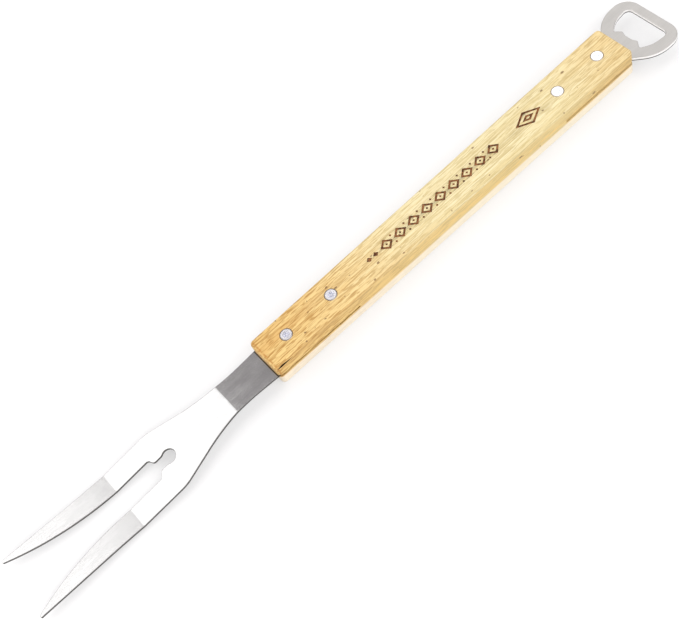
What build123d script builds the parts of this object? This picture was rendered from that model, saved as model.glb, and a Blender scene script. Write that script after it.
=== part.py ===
from build123d import *
from math import cos, radians, tan
import os

# Barbecue fork with a wooden handle and a bottle opener in its butt, in millimetres.
# X runs along the tool towards the tine tips, Y across it and Z up. The origin is the
# middle of the handle's underside, which is the face that the tool lies on.

# --- driving dimensions -------------------------------------------------------------

# Handle: one block of wood with a saw cut, or kerf, in each end for a steel tang.
handle_length = 250.0
handle_front_width = 22.4           # the handle widens a little towards its butt
handle_rear_width = 25.3
handle_thickness = 17.0
handle_corner_radius = 2.4          # upright corners, seen from above
handle_edge_radius = 1.6            # rounded edges of the top and bottom faces
front_kerf_depth = 54.0
rear_kerf_depth = 50.0

# Fork: one bent stainless sheet. Places along it are measured forwards from the
# handle's front end, and widths from the middle line.
fork_thickness = 1.5
fork_edge_radius = 0.35
fork_tang_length = 53.0
fork_tang_corner_radius = 3.0
neck_crease = 26.7                  # first crease, down towards the table
tine_crease = 96.0                  # second crease, across the tine roots
crease_radius = 6.0
blade_slope = 5.25                  # degrees below level
tine_slope = 2.4                    # degrees above level
neck_root = (0.0, 10.3)             # where the sheet leaves the handle
neck_root_radius = 60.0
waist = (31.0, 8.6)                 # corner between the neck and the flared blade
waist_radius = 120.0
shoulder = (68.6, 18.95)            # corner where the blade reaches its full width
shoulder_radius = 21.0
tine_waist = (110.0, 18.6)          # the tines' outer edges draw in slightly around it
tine_waist_radius = 800.0
tine_tip = (161.0, 19.5)
tine_tip_radius = 0.35

# Gap between the tines, with a keyhole at its closed end.
gap_half_width = 6.5
gap_end = 75.8
gap_end_radius = 1.9
gap_flare_corner = 132.0            # the tines' inner edges curve apart around it
gap_flare_radius = 176.0
gap_flare_slope = 21.4              # degrees from the middle line, at the tips
keyhole_center = 66.5
keyhole_radius = 3.9
keyhole_throat_half_width = 3.0
keyhole_throat_end = 74.2
keyhole_throat_radius = 1.8
keyhole_blend_radius = 3.0

# Bottle opener: a second stainless plate. Places along it are measured rearwards from
# the handle's rear end, and widths from the middle line.
opener_thickness = 2.3
opener_edge_radius = 0.45
opener_tang_length = 49.0
opener_tang_half_width = 10.4
opener_tang_corner_radius = 3.0
opener_waist = (-0.6, 10.4)         # the loop starts to widen just inside the handle
opener_waist_radius = 3.0
opener_flank = (10.2, 20.9)         # corner where the loop reaches its full width
opener_flank_radius = 20.0
opener_end = (29.6, 20.9)           # corner of the far bar
opener_end_radius = 9.2

# Mouth of the opener: the far bar rests on the cap and the lip lifts its skirt.
mouth_far = (24.3, 14.4)
mouth_far_radius = 3.2
mouth_flank = (14.2, 13.4)          # the sides of the mouth bow outwards around it
mouth_flank_radius = 14.0
mouth_near = (7.8, 9.3)             # corner of the mouth beside the lip
mouth_near_radius = 1.0
lip_tooth = (10.7, 5.3)             # tooth at each end of the lip
lip_tooth_radius = 0.9
lip_hollow = (9.5, 2.4)             # the lip is hollowed a little between its teeth
lip_hollow_radius = 5.0

# Two-piece rivets: a pin half pressed from above into a tube half from below.
rivet_head_diameter = 7.2
rivet_head_thickness = 1.8
rivet_head_chamfer = 0.3
rivet_tube_diameter = 5.0
rivet_pin_diameter = 3.0
rivet_end_gap = 0.4                 # left beyond the end of the tube and of the pin
front_rivet_setbacks = (16.4, 46.5)     # from the handle's front end
rear_rivet_setbacks = (13.7, 43.0)      # from the handle's rear end

# --- places worked out from them ----------------------------------------------------

handle_front = handle_length / 2
handle_rear = -handle_length / 2
tang_level = handle_thickness / 2       # mid-height of both tangs
head_seat = handle_thickness - rivet_head_thickness

rivet_places = {
    "front_outer": handle_front - front_rivet_setbacks[0],
    "front_inner": handle_front - front_rivet_setbacks[1],
    "rear_inner": handle_rear + rear_rivet_setbacks[1],
    "rear_outer": handle_rear + rear_rivet_setbacks[0],
}


# --- shared shapes ------------------------------------------------------------------

def upright_cylinder(x, diameter, low, high):
    """A cylinder on the middle line, standing between two heights."""
    return Pos(x, 0, (low + high) / 2) * Cylinder(diameter / 2, high - low)


def symmetric_face(corners):
    """A face mirrored about X, from (x, y, corner radius) for each corner of one side."""
    outline = corners + [(x, -y, radius) for x, y, radius in reversed(corners)]
    points = [(x, y) for x, y, radius in outline]
    radii = [radius for x, y, radius in outline]
    return make_face(FilletPolyline(*points, radius=radii, close=True))


def rim_edges(plate):
    """The edges where a plate's upright walls meet its top and bottom faces."""
    walls = [face for face in plate.faces() if abs(face.normal_at().Z) < 0.5]
    edges = [edge for wall in walls for edge in wall.edges()]
    return [edge for edge in edges if abs((edge % 0.5).Z) < 0.5]


# --- handle -------------------------------------------------------------------------

def kerf(end_x, depth, width):
    """A saw cut right across the handle, open at one end face and on both sides."""
    middle = end_x - depth / 2 if end_x > 0 else end_x + depth / 2
    return Pos(middle, 0, tang_level) * Box(depth, 2 * handle_rear_width, width)


def rivet_bore(x):
    """A hole for one rivet, with a seat for a head in the top and bottom faces."""
    bore = upright_cylinder(x, rivet_tube_diameter, 0, handle_thickness)
    bore += upright_cylinder(x, rivet_head_diameter, 0, rivet_head_thickness)
    bore += upright_cylinder(x, rivet_head_diameter, head_seat, handle_thickness)
    return bore


def make_handle():
    plan = symmetric_face([
        (handle_rear, handle_rear_width / 2, handle_corner_radius),
        (handle_front, handle_front_width / 2, handle_corner_radius),
    ])
    block = extrude(plan, handle_thickness)
    block = fillet(rim_edges(block), handle_edge_radius)
    block -= kerf(handle_front, front_kerf_depth, fork_thickness)
    block -= kerf(handle_rear, rear_kerf_depth, opener_thickness)
    for x in rivet_places.values():
        block -= rivet_bore(x)
    return block


# --- fork ---------------------------------------------------------------------------

def fork_side_line(offset):
    """The sheet's side view, from tang to tips, at a height above its mid-surface.

    The first coordinate runs along the fork and the second is height.
    """
    blade_length = (tine_crease - neck_crease) / cos(radians(blade_slope))
    start = (-fork_tang_length, tang_level + offset)
    neck = Line(start, (neck_crease, tang_level + offset))
    crease = JernArc(neck @ 1, neck % 1, crease_radius + offset, -blade_slope)
    blade = Line(crease @ 1, crease @ 1 + crease % 1 * blade_length)
    root = JernArc(blade @ 1, blade % 1, crease_radius - offset, blade_slope + tine_slope)
    reach = tine_tip[0] + fork_thickness - (root @ 1).X
    tine = Line(root @ 1, root @ 1 + Vector(reach, reach * tan(radians(tine_slope))))
    return [neck, crease, blade, root, tine]


def fork_sheet():
    """The bent sheet before its outline is cut."""
    lower = fork_side_line(-fork_thickness / 2)
    upper = fork_side_line(fork_thickness / 2)
    heel = Line(lower[0] @ 0, upper[0] @ 0)
    toe = Line(lower[-1] @ 1, upper[-1] @ 1)
    section = Plane.XZ * make_face(lower + upper + [heel, toe])
    return extrude(section, 2 * shoulder[1], both=True)


def fork_outline():
    """Tang, neck, blade and both tines seen from above, with the gap still filled."""
    return symmetric_face([
        (-fork_tang_length, neck_root[1], fork_tang_corner_radius),
        (*neck_root, neck_root_radius),
        (*waist, waist_radius),
        (*shoulder, shoulder_radius),
        (*tine_waist, tine_waist_radius),
        (*tine_tip, 0),
    ])


def tine_gap():
    """The gap between the tines with its keyhole, run on past the tips."""
    past_tips = tine_tip[0] + 15
    flare = (past_tips - gap_flare_corner) * tan(radians(gap_flare_slope))
    gap = symmetric_face([
        (keyhole_center, keyhole_throat_half_width, 0),
        (keyhole_throat_end, keyhole_throat_half_width, keyhole_throat_radius),
        (gap_end, gap_half_width, gap_end_radius),
        (gap_flare_corner, gap_half_width, gap_flare_radius),
        (past_tips, gap_half_width + flare, 0),
    ])
    gap += Pos(keyhole_center, 0) * Circle(keyhole_radius)
    junction_end = keyhole_center + keyhole_radius
    junctions = gap.vertices().filter_by_position(Axis.X, keyhole_center + 1, junction_end)
    return fillet(junctions, keyhole_blend_radius)


def make_fork():
    blank = fork_outline() - tine_gap()
    tips = blank.vertices().group_by(Axis.X)[-1]
    blank = fillet(tips, tine_tip_radius)
    fork = fork_sheet() & extrude(blank, handle_thickness)
    fork = fillet(rim_edges(fork), fork_edge_radius)
    for setback in front_rivet_setbacks:
        fork -= upright_cylinder(-setback, rivet_tube_diameter, 0, handle_thickness)
    return Pos(handle_front, 0, 0) * fork


# --- bottle opener ------------------------------------------------------------------

def opener_outline():
    """The opener's tang and its loop seen from above, with the mouth still filled."""
    return symmetric_face([
        (-opener_tang_length, opener_tang_half_width, opener_tang_corner_radius),
        (*opener_waist, opener_waist_radius),
        (*opener_flank, opener_flank_radius),
        (*opener_end, opener_end_radius),
    ])


def opener_mouth():
    """The hole that goes over a bottle cap, with a toothed lip on the handle side."""
    return symmetric_face([
        (*lip_hollow, lip_hollow_radius),
        (*lip_tooth, lip_tooth_radius),
        (*mouth_near, mouth_near_radius),
        (*mouth_flank, mouth_flank_radius),
        (*mouth_far, mouth_far_radius),
    ])


def make_bottle_opener():
    blank = opener_outline() - opener_mouth()
    opener = extrude(blank, opener_thickness / 2, both=True)
    opener = fillet(rim_edges(opener), opener_edge_radius)
    for setback in rear_rivet_setbacks:
        opener -= upright_cylinder(-setback, rivet_tube_diameter, -opener_thickness, opener_thickness)
    return Pos(handle_rear, 0, tang_level) * Rot(0, 0, 180) * opener


# --- rivets -------------------------------------------------------------------------

def make_rivet_pin(x):
    """The upper half of a rivet: a flush head with a solid pin below it."""
    head = upright_cylinder(x, rivet_head_diameter, head_seat, handle_thickness)
    head = chamfer(head.edges().group_by(Axis.Z)[-1], rivet_head_chamfer)
    pin_end = rivet_head_thickness + rivet_end_gap
    return head + upright_cylinder(x, rivet_pin_diameter, pin_end, head_seat)


def make_rivet_tube(x):
    """The lower half of a rivet: a flush head with a tube above it."""
    head = upright_cylinder(x, rivet_head_diameter, 0, rivet_head_thickness)
    head = chamfer(head.edges().group_by(Axis.Z)[0], rivet_head_chamfer)
    tube_end = head_seat - rivet_end_gap
    tube = upright_cylinder(x, rivet_tube_diameter, rivet_head_thickness, tube_end)
    tube -= upright_cylinder(x, rivet_pin_diameter, rivet_head_thickness, tube_end)
    return head + tube


# --- parts --------------------------------------------------------------------------

parts = {
    "handle": make_handle(),
    "fork": make_fork(),
    "bottle_opener": make_bottle_opener(),
}
for place, x in rivet_places.items():
    parts[f"{place}_rivet_pin"] = make_rivet_pin(x)
    parts[f"{place}_rivet_tube"] = make_rivet_tube(x)

os.makedirs("parts", exist_ok=True)
for name, part in parts.items():
    export_step(part, f"parts/{name}.step")
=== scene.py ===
import math

import bmesh
import bpy
from mathutils import Matrix, Vector


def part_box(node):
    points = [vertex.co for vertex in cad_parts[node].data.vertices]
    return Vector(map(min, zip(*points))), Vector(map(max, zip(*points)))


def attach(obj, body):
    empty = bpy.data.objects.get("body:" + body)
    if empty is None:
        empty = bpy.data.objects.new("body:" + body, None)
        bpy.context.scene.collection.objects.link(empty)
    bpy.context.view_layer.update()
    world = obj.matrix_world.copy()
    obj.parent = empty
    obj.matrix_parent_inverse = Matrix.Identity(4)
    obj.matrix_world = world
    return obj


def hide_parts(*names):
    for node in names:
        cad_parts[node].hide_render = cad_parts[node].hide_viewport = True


# Looks for the barbecue fork: studio, camera, the engraved wooden handle and every
# material. Metres, in the CAD model's frame: X towards the tine tips and Z up.

MM = 0.001

# --- camera and studio --------------------------------------------------------------

camera_aim = Vector((78.4 * MM, 0.2 * MM, 0))
camera_distance = 615.6 * MM
camera_azimuth = 163.72             # degrees; 0 looks along +Y, 90 along -X
camera_elevation = 57.95
camera_roll = -28.11
camera_lens = 63.63                 # millimetres, on a sensor 36 mm wide

studio_centre = Vector((60 * MM, 0, 0))
floor_size = 4.4                    # the white backdrop takes over past its edge
floor_gap = 0.05 * MM               # keeps the floor off the handle's underside
floor_color = (0.43, 0.43, 0.43)
floor_glow = 0.44                   # the floor is a white table lit from below as well
room_color = (0.484, 0.457, 0.466)  # what lights the scene from all round
backdrop_color = (1.0, 1.0, 1.0)    # what the camera sees past the floor

# Each softbox is a window in the sky. Its rise is the angle of its middle above the -Y
# horizon, past 90 when it stands on the +Y side, and sideways is how far its two edges
# lie towards +X of that, all in degrees. Spread is how tall it looks, in degrees, and
# radiance is how bright its face is.
softbox_distance = 3.0
softboxes = {
    "key_softbox": {"rise": 58, "sideways": (9.5, 62), "spread": 62, "radiance": 1.85},
    "key_edge_softbox": {"rise": 58, "sideways": (3.0, 9.5), "spread": 62, "radiance": 1.62},
    "side_softbox": {"rise": 58, "sideways": (-62, -13), "spread": 58, "radiance": 1.15},
    "fill_softbox": {"rise": 140, "sideways": (-50, 44), "spread": 44, "radiance": 2.4},
}

# --- burned ornament on the handle's top face ---------------------------------------

engraving_depth = 0.35 * MM
stroke = 1.15 * MM                  # width of a burned line
chain_start = 40.0 * MM             # X of the first link
chain_pitch = 9.4 * MM
chain_links = 9
chain_link_half = (4.1 * MM, 3.7 * MM)      # along and across the handle
chain_dot_half = 0.75 * MM
lead_in_places = (52.0 * MM, 47.6 * MM)
lead_in_half = (1.7 * MM, 1.5 * MM)
medallion_x = -60.5 * MM
medallion_half = (9.0 * MM, 4.9 * MM)
medallion_core_half = (4.0 * MM, 2.0 * MM)

# Crack along the upper +Y arris near the front end.
crack_start = 0.5 * MM              # past the handle's front end, so the crack is open there
crack_side = 11.2 * MM              # Y of the handle's side at its front end
crack_drop = 1.4 * MM               # below the top face
crack_length = 14.0 * MM
crack_widest = 0.32                 # how far along it the crack is widest
crack_width = 2.0 * MM              # at crack_rise above the surface; narrower below
crack_rise = 0.6 * MM
crack_depth = 1.8 * MM
crack_tip = 72.0                    # degrees that its mouth leans from up towards +Y

# --- where a finish, a painted shade or a painted light changes ---------------------
# In each pair the change starts at the first value and is complete at the second.

side_shade_blend = (14.2 * MM, 16.4 * MM)  # height, from the side's painted shade to the top face's own tone
lower_side_light_blend = (8.6 * MM, 6.6 * MM)        # height, down into the painted floor light on the lower side
lower_side_light_ragged = 2.0 * MM           # how far noise lowers that edge at most
front_line_setback = 1.5 * MM           # middle of the dark line behind the front arris, from the front end
front_line_blend = (0.10 * MM, 0.80 * MM)       # distance from that middle, from dark to none
joint_shade_blend = (1.2 * MM, 0.5 * MM)  # distance from the handle, into the painted shade at the joint
joint_shade_ragged = 0.5 * MM
underside_shade_blend = (1.05 * MM, 0.75 * MM)         # height above the lower face, down into the painted shade line
rivet_middle_blend = (2.7 * MM, 1.7 * MM)   # distance from the rivet's axis, into the pits
rivet_middle_ragged = 0.8 * MM
rivet_rim_blend = (2.75 * MM, 3.15 * MM)    # distance from the axis, out to the dark rim
rivet_turning = 21000.0             # radians per metre, so one turned ring every 0.3 mm


# --- small helpers ------------------------------------------------------------------

def direction(azimuth, elevation):
    """A unit vector; azimuth 0 points to -Y and 90 to +X."""
    a, e = math.radians(azimuth), math.radians(elevation)
    return Vector((math.sin(a) * math.cos(e), -math.cos(a) * math.cos(e), math.sin(e)))


def add_object(name, data):
    made = bpy.data.objects.new(name, data)
    bpy.context.scene.collection.objects.link(made)
    return made


def mesh_from(bm, name):
    mesh = bpy.data.meshes.new(name)
    bm.to_mesh(mesh)
    bm.free()
    return mesh


# --- node helpers -------------------------------------------------------------------

class Shader:
    """A material's node tree, with one method for each kind of node that is used."""

    def __init__(self, name):
        self.material = bpy.data.materials.new(name)
        self.material.use_nodes = True
        self.nodes = self.material.node_tree.nodes
        self.links = self.material.node_tree.links
        self.surface = self.nodes["Principled BSDF"]
        coordinates = self.nodes.new("ShaderNodeTexCoord")
        self.place = coordinates.outputs["Object"]
        self.facing = coordinates.outputs["Normal"]

    def put(self, socket, value):
        """Links an output to an input, or sets the input to a plain value."""
        if isinstance(value, bpy.types.NodeSocket):
            self.links.new(value, socket)
        else:
            socket.default_value = value

    def stretch(self, vector, scale, shift=(0, 0, 0)):
        """vector times scale, plus shift."""
        node = self.nodes.new("ShaderNodeVectorMath")
        node.operation = "MULTIPLY_ADD"
        self.put(node.inputs[0], vector)
        node.inputs[1].default_value = scale
        node.inputs[2].default_value = shift
        return node.outputs[0]

    def noise(self, scale, detail=3.0, roughness=0.5, shift=(0, 0, 0)):
        """Noise from 0 to 1 with its own scale along X, Y and Z."""
        node = self.nodes.new("ShaderNodeTexNoise")
        self.put(node.inputs["Vector"], self.stretch(self.place, scale, shift))
        node.inputs["Scale"].default_value = 1.0
        node.inputs["Detail"].default_value = detail
        node.inputs["Roughness"].default_value = roughness
        return node.outputs["Fac"]

    def math(self, operation, a, b=0.0, c=0.0):
        node = self.nodes.new("ShaderNodeMath")
        node.operation = operation
        for socket, value in zip(node.inputs, (a, b, c)):
            self.put(socket, value)
        return node.outputs[0]

    def between(self, value, low, high):
        """0 below low, 1 above high and a smooth ramp between; low may be above high."""
        node = self.nodes.new("ShaderNodeMapRange")
        node.interpolation_type = "SMOOTHSTEP"
        self.put(node.inputs["Value"], value)
        node.inputs["From Min"].default_value = low
        node.inputs["From Max"].default_value = high
        return node.outputs["Result"]

    def mix(self, factor, a, b, blend="MIX"):
        """Colour a at factor 0 and b at factor 1."""
        node = self.nodes.new("ShaderNodeMix")
        node.data_type = "RGBA"
        node.blend_type = blend
        self.put(node.inputs[0], factor)
        self.put(node.inputs[6], a if isinstance(a, bpy.types.NodeSocket) else (*a, 1))
        self.put(node.inputs[7], b if isinstance(b, bpy.types.NodeSocket) else (*b, 1))
        return node.outputs[2]

    def split(self, vector):
        node = self.nodes.new("ShaderNodeSeparateXYZ")
        self.put(node.inputs[0], vector)
        return node.outputs

    def bump(self, height, depth, under=None):
        """A bump whose height of 1 stands depth metres proud."""
        node = self.nodes.new("ShaderNodeBump")
        self.put(node.inputs["Height"], height)
        node.inputs["Distance"].default_value = depth
        node.inputs["Strength"].default_value = 1.0
        if under:
            self.put(node.inputs["Normal"], under)
        return node.outputs["Normal"]


# --- materials ----------------------------------------------------------------------

def wood_material(front_x, rear_x):
    """Pale open-grained hardwood, warmer at both ends, with dark pores along the grain."""
    wood = Shader("oiled_hardwood")
    x, _, z = wood.split(wood.place)
    cloud = wood.noise((11, 110, 110), detail=2.0, shift=(3.1, 0, 0))
    bands = wood.noise((7, 330, 330), detail=3.0, roughness=0.6)
    fibres = wood.noise((24, 1700, 1700), detail=2.0, roughness=0.6, shift=(0, 7.7, 0))
    dashes = wood.noise((135, 1350, 1350), detail=1.0, roughness=0.5, shift=(5, 1, 2))
    hairs = wood.noise((38, 1300, 1300), detail=2.0, roughness=0.6, shift=(2, 8, 5))
    specks = wood.noise((330, 520, 520), detail=0.0, shift=(1, 9, 4))

    # The pale middle, the honey-coloured front and a rear end between the two.
    along = wood.math("DIVIDE", wood.math("SUBTRACT", front_x, x), front_x - rear_x)
    paleness = wood.between(wood.math("MULTIPLY_ADD", cloud, 0.40, along), 0.24, 0.72)
    rear = wood.between(along, 0.78, 1.0)
    paleness = wood.math("MULTIPLY", paleness, wood.math("MULTIPLY_ADD", rear, -0.45, 1.0))
    # Painted shade: the side below the top's arris gets a darker, more saturated tone than the top,
    # because it faces away from the light.
    shaded_side_early = (0.68, 0.475, 0.175)
    top_early = wood.mix(paleness, (0.67, 0.480, 0.190), (0.69, 0.612, 0.378))
    early = wood.mix(wood.between(z, *side_shade_blend), shaded_side_early, top_early)
    late = wood.mix(paleness, (0.55, 0.325, 0.100), (0.58, 0.465, 0.220))
    color = wood.mix(wood.math("MULTIPLY", wood.between(bands, 0.44, 0.66), 0.75), early, late)
    color = wood.mix(wood.math("MULTIPLY", wood.between(fibres, 0.40, 0.62), 0.40), color, late)

    # Pores: short dark dashes, thinner and longer hairs, and a few specks.
    dash_strength = wood.math("MULTIPLY_ADD", paleness, -0.30, 0.85)
    dash = wood.math("MULTIPLY", wood.between(dashes, 0.52, 0.60), dash_strength)
    hair = wood.math("MULTIPLY", wood.between(hairs, 0.54, 0.62), 0.72)
    speck = wood.math("MULTIPLY", wood.between(specks, 0.80, 0.83), 0.75)
    pore_color = wood.mix(paleness, (0.38, 0.195, 0.042), (0.47, 0.370, 0.165))
    color = wood.mix(dash, color, pore_color)
    color = wood.mix(hair, color, pore_color)
    color = wood.mix(speck, color, (0.13, 0.060, 0.018))

    # A dark brown line just behind the front arris, where the end was sanded round.
    from_front = wood.math("SUBTRACT", front_x, x)
    off_line = wood.math("ABSOLUTE", wood.math("SUBTRACT", from_front, front_line_setback))
    line = wood.math("SUBTRACT", 1.0, wood.between(off_line, *front_line_blend))
    uneven = wood.between(wood.noise((300, 420, 420), detail=2.0, shift=(6, 6, 0)), 0.30, 0.62)
    front_line = wood.math("MULTIPLY", wood.math("MULTIPLY", line, uneven), 0.85)
    color = wood.mix(front_line, color, (0.40, 0.180, 0.035))

    # Painted light: the side below the kerfs is painted pale, standing in for the floor's bounce light
    # that bleaches it.
    lower_side_light = wood.between(wood.math("MULTIPLY_ADD", cloud, lower_side_light_ragged, z), *lower_side_light_blend)
    color = wood.mix(wood.math("MULTIPLY", lower_side_light, 0.70), color, (0.80, 0.755, 0.650))
    wood.put(wood.surface.inputs["Base Color"], color)

    wood.put(wood.surface.inputs["Roughness"], wood.math("MULTIPLY_ADD", fibres, 0.25, 0.42))
    wood.surface.inputs["Specular IOR Level"].default_value = 0.35
    pores = wood.math("MULTIPLY", wood.math("ADD", dash, hair), -1.0)
    relief = wood.math("MULTIPLY_ADD", fibres, 0.30, pores)
    wood.put(wood.surface.inputs["Normal"], wood.bump(relief, 0.05 * MM))
    return wood.material


def burned_material():
    """Charred wood at the bottom of the engraved lines."""
    char = Shader("burned_wood")
    grain = char.noise((260, 2400, 2400), detail=4.0, roughness=0.7)
    cloud = char.noise((700, 700, 700), detail=2.0, shift=(2, 5, 1))
    color = char.mix(char.between(cloud, 0.35, 0.66), (0.060, 0.020, 0.007), (0.26, 0.105, 0.036))
    color = char.mix(char.between(grain, 0.50, 0.74), color, (0.42, 0.20, 0.080))
    char.put(char.surface.inputs["Base Color"], color)
    char.surface.inputs["Roughness"].default_value = 0.78
    char.surface.inputs["Specular IOR Level"].default_value = 0.25
    char.put(char.surface.inputs["Normal"], char.bump(grain, 0.10 * MM))
    return char.material


def crack_shade_material():
    """The inside of the crack, painted near-black: painted shade."""
    crack = Shader("crack_painted_shade")
    grain = crack.noise((300, 2000, 2000), detail=3.0)
    color = crack.mix(crack.between(grain, 0.40, 0.75), (0.004, 0.002, 0.001), (0.040, 0.015, 0.005))
    crack.put(crack.surface.inputs["Base Color"], color)
    crack.surface.inputs["Roughness"].default_value = 0.9
    crack.surface.inputs["Specular IOR Level"].default_value = 0.1
    crack.put(crack.surface.inputs["Normal"], crack.bump(grain, 0.05 * MM))
    return crack.material


def brushed_steel(
        name, color, roughness, streak_depth, mottle, cut_painted_light_color, cut_range, joint_shade_x=None, underside_shade_z=None):
    """Stainless steel with brush lines along X, rougher on its cut edges, where a painted colour
    stands in for their light and shade.

    cut_range is the upward part of the normal at which the painted edge colour is full and gone.
    Where the sheet leaves the handle, at the x given for the joint, a line of painted shade runs round
    it.
    At the height given for the plate's lower face, a line of painted shade runs round its rim.
    """
    steel = Shader(name)
    fine = steel.noise((20, 11000, 11000), detail=2.0, roughness=0.6)
    coarse = steel.noise((9, 2600, 2600), detail=3.0, roughness=0.6, shift=(4, 2, 0))
    cloud = steel.noise((70, 110, 110), detail=4.0, roughness=0.6, shift=(0, 3, 8))
    grit = steel.noise((900, 2600, 2600), detail=2.0, shift=(7, 0, 1))

    tone = steel.math("ADD", steel.math("MULTIPLY", coarse, 0.45), steel.math("MULTIPLY", cloud, 0.55))
    dark = tuple(c * (1 - mottle) for c in color)
    light = tuple(min(1.0, c * (1 + mottle * 0.6)) for c in color)
    tint = steel.mix(steel.between(tone, 0.30, 0.70), dark, light)
    upward = steel.math("ABSOLUTE", steel.split(steel.facing)[2])
    cut = steel.between(upward, cut_range[1], cut_range[0])
    # Painted light on the cut edges: their colour stands in for the light and shade that fall on them.
    tint = steel.mix(cut, tint, cut_painted_light_color)
    x, _, z = steel.split(steel.place)
    # Painted shade: a dark line round the lower rim of the cut edges.
    if underside_shade_z is not None:
        underside_shade = steel.between(z, *(underside_shade_z + height for height in underside_shade_blend))
        tint = steel.mix(steel.math("MULTIPLY", cut, underside_shade), tint, (0.07, 0.065, 0.06))
    # Painted shade: a near-black line on the sheet where it goes into the handle.
    if joint_shade_x is not None:
        ragged = steel.math("MULTIPLY_ADD", cloud, joint_shade_ragged, x)
        joint_shade = steel.between(ragged, *(joint_shade_x + reach for reach in joint_shade_blend))
        tint = steel.mix(steel.math("MULTIPLY", joint_shade, 0.93), tint, (0.03, 0.02, 0.012))
    steel.put(steel.surface.inputs["Base Color"], tint)
    steel.surface.inputs["Metallic"].default_value = 1.0
    satin = steel.math("MULTIPLY_ADD", cloud, 0.10, roughness - 0.05)
    steel.put(steel.surface.inputs["Roughness"], steel.math("MULTIPLY_ADD", cut, 0.25, satin))
    lines = steel.math("MULTIPLY_ADD", coarse, 0.5, fine)
    brushed = steel.bump(lines, streak_depth)
    steel.put(steel.surface.inputs["Normal"], steel.bump(grit, streak_depth * 0.35, under=brushed))
    return steel.material


def rivet_material(name, centre_x):
    """Aluminium rivet head: a dark rim, a bright ring and a pitted middle."""
    rivet = Shader(name)
    x, y, _ = rivet.split(rivet.stretch(rivet.place, (1, 1, 1), (-centre_x, 0, 0)))
    square = rivet.math("ADD", rivet.math("POWER", x, 2.0), rivet.math("POWER", y, 2.0))
    radius = rivet.math("SQRT", square)
    wobble = rivet.noise((600, 600, 600), detail=2.0)
    ragged = rivet.math("MULTIPLY_ADD", wobble, rivet_middle_ragged, radius)
    pits = rivet.between(rivet.noise((1300, 1300, 1300), detail=3.0, shift=(1, 4, 2)), 0.42, 0.60)
    middle = rivet.between(ragged, *rivet_middle_blend)
    rim = rivet.between(radius, *rivet_rim_blend)

    color = rivet.mix(rivet.math("MULTIPLY", middle, pits), (0.94, 0.94, 0.96), (0.58, 0.61, 0.74))
    color = rivet.mix(middle, color, (0.92, 0.93, 0.98), blend="MULTIPLY")
    color = rivet.mix(rivet.math("MULTIPLY", rim, 0.80), color, (0.22, 0.18, 0.15))
    rivet.put(rivet.surface.inputs["Base Color"], color)
    rivet.surface.inputs["Metallic"].default_value = 1.0
    rivet.put(rivet.surface.inputs["Roughness"], rivet.math("MULTIPLY_ADD", wobble, 0.12, 0.19))
    turned = rivet.math("SINE", rivet.math("MULTIPLY", radius, rivet_turning))
    relief = rivet.math("MULTIPLY_ADD", rivet.math("MULTIPLY", middle, pits), -4.0, turned)
    rivet.put(rivet.surface.inputs["Normal"], rivet.bump(relief, 0.003 * MM))
    return rivet.material


# --- engraved handle ----------------------------------------------------------------

def lozenge(bm, x, y, half, low, high, hole=None):
    """Adds an upright prism with a lozenge outline, solid or with a lozenge hole."""
    def ring(sizes, level):
        along, across = sizes
        corners = ((along, 0), (0, across), (-along, 0), (0, -across))
        return [bm.verts.new((x + dx, y + dy, level)) for dx, dy in corners]

    outer_low, outer_high = ring(half, low), ring(half, high)
    if hole:
        inner_low, inner_high = ring(hole, low), ring(hole, high)
    for i in range(4):
        j = (i + 1) % 4
        bm.faces.new((outer_low[i], outer_low[j], outer_high[j], outer_high[i]))
        if hole:
            bm.faces.new((inner_low[j], inner_low[i], inner_high[i], inner_high[j]))
            bm.faces.new((outer_high[i], outer_high[j], inner_high[j], inner_high[i]))
            bm.faces.new((outer_low[j], outer_low[i], inner_low[i], inner_low[j]))
    if not hole:
        bm.faces.new(outer_high)
        bm.faces.new(outer_low[::-1])


def open_lozenge(bm, x, half, low, high):
    """A lozenge drawn as one burned line of even width."""
    along, across = half
    slant = math.hypot(along, across) / across
    inset = stroke * slant
    hole = (along - inset, (along - inset) * across / along)
    lozenge(bm, x, 0, half, low, high, hole)


def ornament_cutter(top):
    """The plain geometric border that is burned into the handle: a chain of lozenges."""
    bm = bmesh.new()
    low, high = top - engraving_depth, top + 1 * MM
    for x in lead_in_places:
        lozenge(bm, x, 0, lead_in_half, low, high)
    for link in range(chain_links):
        x = chain_start - link * chain_pitch
        open_lozenge(bm, x, chain_link_half, low, high)
        lozenge(bm, x, 0, (chain_dot_half, chain_dot_half), low, high)
        for y in (-1, 1):
            if link < chain_links - 1:
                dot = (chain_dot_half, chain_dot_half)
                lozenge(bm, x - chain_pitch / 2, y * chain_link_half[1] * 0.72, dot, low, high)
    open_lozenge(bm, medallion_x, medallion_half, low, high)
    open_lozenge(bm, medallion_x, medallion_core_half, low, high)
    return mesh_from(bm, "ornament_cutter")


def crack_cutter(front_x, top):
    """A thin lens along the grain that narrows with depth and shuts at both ends."""
    bm = bmesh.new()
    middle = -crack_length * crack_widest
    mouth = [bm.verts.new(p) for p in (
        (0, 0, crack_rise),
        (middle, crack_width / 2, crack_rise),
        (-crack_length, 0, crack_rise),
        (middle, -crack_width / 2, crack_rise),
    )]
    bottom = bm.verts.new((middle, 0, -crack_depth))
    bm.faces.new(mouth)
    for i in range(4):
        bm.faces.new((mouth[(i + 1) % 4], mouth[i], bottom))
    bmesh.ops.recalc_face_normals(bm, faces=bm.faces)
    place = Matrix.Translation((front_x + crack_start, crack_side, top - crack_drop))
    bm.transform(place @ Matrix.Rotation(math.radians(-crack_tip), 4, "X"))
    return mesh_from(bm, "crack_cutter")


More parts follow.
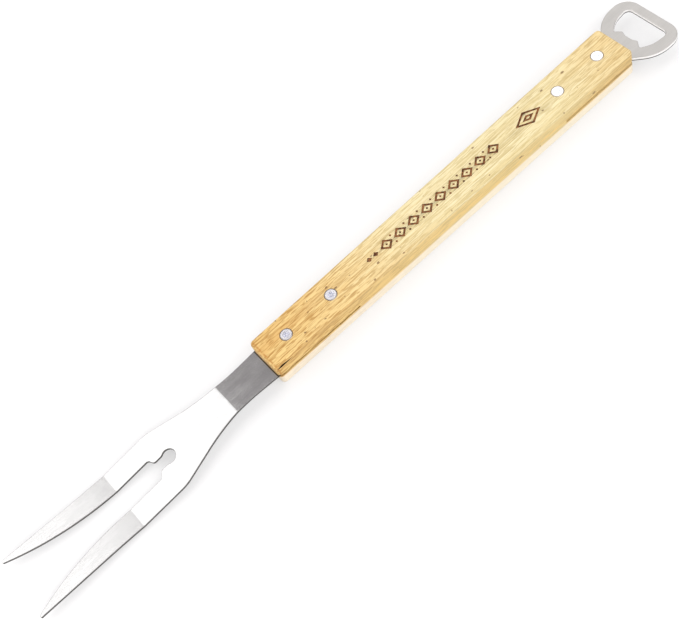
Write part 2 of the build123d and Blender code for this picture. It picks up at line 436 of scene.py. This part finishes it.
def cut_with(piece, cutter_mesh, material):
    """Cuts a closed mesh out of a piece, and lines the cut with a material."""
    cutter_mesh.materials.append(material)
    cutter = add_object(cutter_mesh.name, cutter_mesh)
    cut = piece.modifiers.new("cut", "BOOLEAN")
    cut.operation = "DIFFERENCE"
    cut.solver = "EXACT"
    cut.material_mode = "TRANSFER"
    cut.object = cutter
    view = bpy.context.evaluated_depsgraph_get()
    finished = bpy.data.meshes.new_from_object(piece.evaluated_get(view))
    piece.modifiers.remove(cut)
    piece.data = finished
    bpy.data.objects.remove(cutter)


def engraved_handle(node, wood, burned, crack):
    """The CAD handle with its burned ornament and its crack as real recesses."""
    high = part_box(node.name)[1]
    bm = bmesh.new()
    bm.from_mesh(node.data)
    bmesh.ops.remove_doubles(bm, verts=bm.verts, dist=0.001 * MM)
    piece = add_object("engraved_handle", mesh_from(bm, "engraved_handle"))
    piece.data.materials.clear()
    piece.data.materials.append(wood)
    cut_with(piece, ornament_cutter(high.z), burned)
    cut_with(piece, crack_cutter(high.x, high.z), crack)
    piece.data.shade_smooth()
    piece.data.set_sharp_from_angle(angle=math.radians(32))
    even = piece.modifiers.new("even_shading", "WEIGHTED_NORMAL")
    even.keep_sharp = True
    return piece


# --- studio -------------------------------------------------------------------------

def make_floor():
    bpy.ops.mesh.primitive_plane_add(size=floor_size, location=(0, 0, -floor_gap))
    floor = bpy.context.object
    floor.name = "floor"
    paper = Shader("white_paper")
    fibre = paper.noise((900, 900, 900), detail=2.0)
    paper.surface.inputs["Base Color"].default_value = (*floor_color, 1)
    paper.surface.inputs["Roughness"].default_value = 0.9
    paper.surface.inputs["Specular IOR Level"].default_value = 0.1
    paper.surface.inputs["Emission Color"].default_value = (1, 1, 1, 1)
    paper.surface.inputs["Emission Strength"].default_value = floor_glow
    paper.put(paper.surface.inputs["Normal"], paper.bump(fibre, 0.01 * MM))
    floor.data.materials.append(paper.material)


def make_room():
    """An even grey room for the light, and a white backdrop for the camera."""
    world = bpy.data.worlds.new("studio")
    world.use_nodes = True
    nodes, links = world.node_tree.nodes, world.node_tree.links
    light = nodes["Background"]
    light.inputs["Color"].default_value = (*room_color, 1)
    backdrop = nodes.new("ShaderNodeBackground")
    backdrop.inputs["Color"].default_value = (*backdrop_color, 1)
    choose = nodes.new("ShaderNodeMixShader")
    links.new(nodes.new("ShaderNodeLightPath").outputs["Is Camera Ray"], choose.inputs[0])
    links.new(light.outputs[0], choose.inputs[1])
    links.new(backdrop.outputs[0], choose.inputs[2])
    links.new(choose.outputs[0], nodes["World Output"].inputs["Surface"])
    bpy.context.scene.world = world


def make_softbox(name, rise, sideways, spread, radiance):
    """An area light that faces the studio's centre, set by how bright its face is."""
    left, right = (math.radians(angle) for angle in sideways)
    width = 2 * softbox_distance * math.tan((right - left) / 2)
    height = 2 * softbox_distance * math.tan(math.radians(spread) / 2)
    light = bpy.data.lights.new(name, "AREA")
    light.shape = "RECTANGLE"
    light.size, light.size_y = width, height
    light.energy = radiance * math.pi * width * height
    box = add_object(name, light)
    tilt = Matrix.Rotation(math.radians(90 - rise), 4, "X")
    turn = Matrix.Rotation((left + right) / 2, 4, "Y")
    out = Matrix.Translation((0, 0, softbox_distance))
    box.matrix_world = Matrix.Translation(studio_centre) @ tilt @ turn @ out


def make_camera():
    camera = bpy.data.cameras.new("camera")
    camera.sensor_fit = "HORIZONTAL"
    camera.sensor_width = 36.0
    camera.lens = camera_lens
    camera.clip_start, camera.clip_end = 0.01, 50
    holder = add_object("camera", camera)
    back = direction(camera_azimuth, camera_elevation)
    aim = back.to_track_quat("Z", "Y").to_matrix().to_4x4()
    roll = Matrix.Rotation(math.radians(camera_roll), 4, "Z")
    holder.matrix_world = Matrix.Translation(camera_aim + back * camera_distance) @ aim @ roll
    bpy.context.scene.camera = holder


# --- the scene ----------------------------------------------------------------------

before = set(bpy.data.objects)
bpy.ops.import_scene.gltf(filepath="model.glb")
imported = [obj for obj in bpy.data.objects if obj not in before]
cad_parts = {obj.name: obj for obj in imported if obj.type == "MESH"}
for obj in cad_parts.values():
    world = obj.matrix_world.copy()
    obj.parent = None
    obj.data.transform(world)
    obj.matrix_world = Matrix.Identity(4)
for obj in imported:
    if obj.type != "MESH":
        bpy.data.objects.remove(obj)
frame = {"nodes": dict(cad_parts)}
bpy.context.view_layer.update()
nodes = frame["nodes"]

bpy.context.scene.view_settings.view_transform = "Standard"
make_camera()
make_room()
make_floor()
for name, softbox in softboxes.items():
    make_softbox(name, **softbox)

handle_low, handle_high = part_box("handle")
wood = wood_material(handle_high.x, handle_low.x)
handle = engraved_handle(nodes["handle"], wood, burned_material(), crack_shade_material())
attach(handle, "root")
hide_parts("handle")

finishes = {
    # The fork's cut edges are painted dark: painted shade on the edge walls.
    "fork": brushed_steel(
        "fork_steel_brushed", (0.505, 0.505, 0.50), 0.16, 0.008 * MM, 0.10,
        cut_painted_light_color=(0.13, 0.125, 0.12), cut_range=(0.75, 0.95), joint_shade_x=handle_high.x),
    # The opener's cut edges are painted near-white: a painted highlight on the edge walls.
    "bottle_opener": brushed_steel(
        "opener_steel_satin", (0.425, 0.415, 0.397), 0.36, 0.008 * MM, 0.09,
        cut_painted_light_color=(0.93, 0.92, 0.91), cut_range=(0.35, 0.80), underside_shade_z=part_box("bottle_opener")[0].z),
}
for name, node in nodes.items():
    if "rivet" in name:
        low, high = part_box(name)
        finishes[name] = rivet_material(f"{name}_metal", (low.x + high.x) / 2)
for name, material in finishes.items():
    nodes[name].data.materials[0] = material

bpy.context.view_layer.update()
